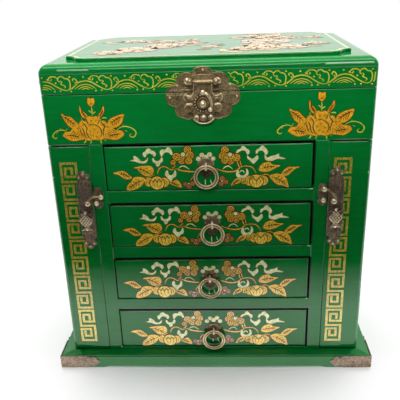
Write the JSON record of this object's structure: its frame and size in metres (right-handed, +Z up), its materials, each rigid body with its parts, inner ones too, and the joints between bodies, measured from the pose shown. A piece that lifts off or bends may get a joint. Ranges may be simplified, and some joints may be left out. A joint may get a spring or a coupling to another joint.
{
  "type": "jewellery chest",
  "caption": "Lacquered wooden jewellery chest with lift-up lid over a lined tray, ring-pull drawers, swing-out necklace wings and antique brass lock.",
  "frame": {"origin": "centre of the plinth's footprint, on the surface it stands on", "axes": "+Z up, -Y the front with the drawers, +X to the right seen from the front"},
  "size_m": [0.327, 0.2308, 0.32],
  "materials": {
    "lacquer": "gloss lacquer",
    "bare_wood": "satin",
    "antique_brass": "antique, satin",
    "steel_pin": "satin",
    "lining": "velvet",
    "mirror": "polished"
  },
  "bodies": {
    "case": {"plinth": "lacquer", "base_corner_brackets": "antique_brass", "back_panel": "lacquer", "partitions": "bare_wood", "front_stiles": "lacquer", "drawer_rails": "lacquer", "drawer_shelves": "bare_wood", "tray_front": "lacquer", "tray_back": "lacquer", "tray_ends": "lacquer", "tray_floor": "bare_wood", "tray_lining": "lining", "ring_rolls": "lining", "lock_plate_lower": "antique_brass", "lock_knob": "antique_brass", "latch_keepers": "antique_brass", "case_hinge_leaves": "antique_brass", "hinge_pins": "steel_pin"},
    "lid": {"lid_front": "lacquer", "lid_back": "lacquer", "lid_ends": "lacquer", "lid_top": "lacquer", "lid_panel": "lacquer", "lid_mirror": "mirror", "mirror_frame": "bare_wood", "lock_plate_upper": "antique_brass", "hasp_pin": "antique_brass", "lid_hinge_leaves": "antique_brass"},
    "hasp": {"hasp": "antique_brass"},
    "hasp_hook": {"hasp_hook": "antique_brass"},
    "drawer_1": {"drawer_1_front": "lacquer", "drawer_1_box": "bare_wood", "drawer_1_pull_plate": "antique_brass"},
    "ring_1": {"drawer_1_ring": "antique_brass"},
    "drawer_2": {"drawer_2_front": "lacquer", "drawer_2_box": "bare_wood", "drawer_2_pull_plate": "antique_brass"},
    "ring_2": {"drawer_2_ring": "antique_brass"},
    "drawer_3": {"drawer_3_front": "lacquer", "drawer_3_box": "bare_wood", "drawer_3_pull_plate": "antique_brass"},
    "ring_3": {"drawer_3_ring": "antique_brass"},
    "drawer_4": {"drawer_4_front": "lacquer", "drawer_4_box": "bare_wood", "drawer_4_pull_plate": "antique_brass"},
    "ring_4": {"drawer_4_ring": "antique_brass"},
    "wing_left": {"wing_left_front": "lacquer", "wing_left_side": "lacquer", "wing_left_necklace_hooks": "antique_brass", "wing_left_latch_plate": "antique_brass", "wing_left_hinge_leaves": "antique_brass"},
    "latch_hook_left": {"wing_left_latch_hook": "antique_brass"},
    "drop_pull_left": {"wing_left_drop_pull": "antique_brass"},
    "wing_right": {"wing_right_front": "lacquer", "wing_right_side": "lacquer", "wing_right_necklace_hooks": "antique_brass", "wing_right_latch_plate": "antique_brass", "wing_right_hinge_leaves": "antique_brass"},
    "latch_hook_right": {"wing_right_latch_hook": "antique_brass"},
    "drop_pull_right": {"wing_right_drop_pull": "antique_brass"}
  },
  "joints": [
    {"name": "lid_hinge", "type": "hinge", "parent": "case", "child": "lid", "pos_m": [0, 0.1072, 0.2904], "axis": [-1, 0, 0], "range_deg": [0, 95]},
    {"name": "hasp_flip", "type": "hinge", "parent": "lid", "child": "hasp", "pos_m": [-0.0028, -0.1089, 0.3], "axis": [-1, 0, 0], "range_deg": [0, 140]},
    {"name": "hasp_hook_turn", "type": "hinge", "parent": "hasp", "child": "hasp_hook", "pos_m": [-0.0032, -0.1086, 0.2905], "axis": [0, -1, 0], "range_deg": [0, 65]},
    {"name": "drawer_1_slide", "type": "slide", "parent": "case", "child": "drawer_1", "axis": [0, -1, 0], "range_m": [0, 0.15]},
    {"name": "ring_1_swing", "type": "hinge", "parent": "drawer_1", "child": "ring_1", "pos_m": [-0.0024, -0.1086, 0.2213], "axis": [-1, 0, 0], "range_deg": [0, 90]},
    {"name": "drawer_2_slide", "type": "slide", "parent": "case", "child": "drawer_2", "axis": [0, -1, 0], "range_m": [0, 0.15]},
    {"name": "ring_2_swing", "type": "hinge", "parent": "drawer_2", "child": "ring_2", "pos_m": [0.002, -0.1086, 0.16205], "axis": [-1, 0, 0], "range_deg": [0, 90]},
    {"name": "drawer_3_slide", "type": "slide", "parent": "case", "child": "drawer_3", "axis": [0, -1, 0], "range_m": [0, 0.15]},
    {"name": "ring_3_swing", "type": "hinge", "parent": "drawer_3", "child": "ring_3", "pos_m": [-0.002, -0.1086, 0.1028], "axis": [-1, 0, 0], "range_deg": [0, 90]},
    {"name": "drawer_4_slide", "type": "slide", "parent": "case", "child": "drawer_4", "axis": [0, -1, 0], "range_m": [0, 0.15]},
    {"name": "ring_4_swing", "type": "hinge", "parent": "drawer_4", "child": "ring_4", "pos_m": [0.0005, -0.1086, 0.0408], "axis": [-1, 0, 0], "range_deg": [0, 90]},
    {"name": "wing_left_hinge", "type": "hinge", "parent": "case", "child": "wing_left", "pos_m": [-0.1518, 0.096, 0.13], "axis": [0, 0, -1], "range_deg": [0, 105]},
    {"name": "wing_right_hinge", "type": "hinge", "parent": "case", "child": "wing_right", "pos_m": [0.1518, 0.096, 0.13], "axis": [0, 0, 1], "range_deg": [0, 105]},
    {"name": "latch_hook_left_turn", "type": "hinge", "parent": "wing_left", "child": "latch_hook_left", "pos_m": [-0.1167, -0.1084, 0.1863], "axis": [0, -1, 0], "range_deg": [0, 80]},
    {"name": "latch_hook_right_turn", "type": "hinge", "parent": "wing_right", "child": "latch_hook_right", "pos_m": [0.117, -0.1084, 0.185], "axis": [0, 1, 0], "range_deg": [-18, 60]},
    {"name": "drop_pull_left_swing", "type": "hinge", "parent": "wing_left", "child": "drop_pull_left", "pos_m": [-0.1205, -0.108, 0.1765], "axis": [-1, 0, 0], "range_deg": [0, 90]},
    {"name": "drop_pull_right_swing", "type": "hinge", "parent": "wing_right", "child": "drop_pull_right", "pos_m": [0.1195, -0.108, 0.1765], "axis": [-1, 0, 0], "range_deg": [0, 90]}
  ]
}
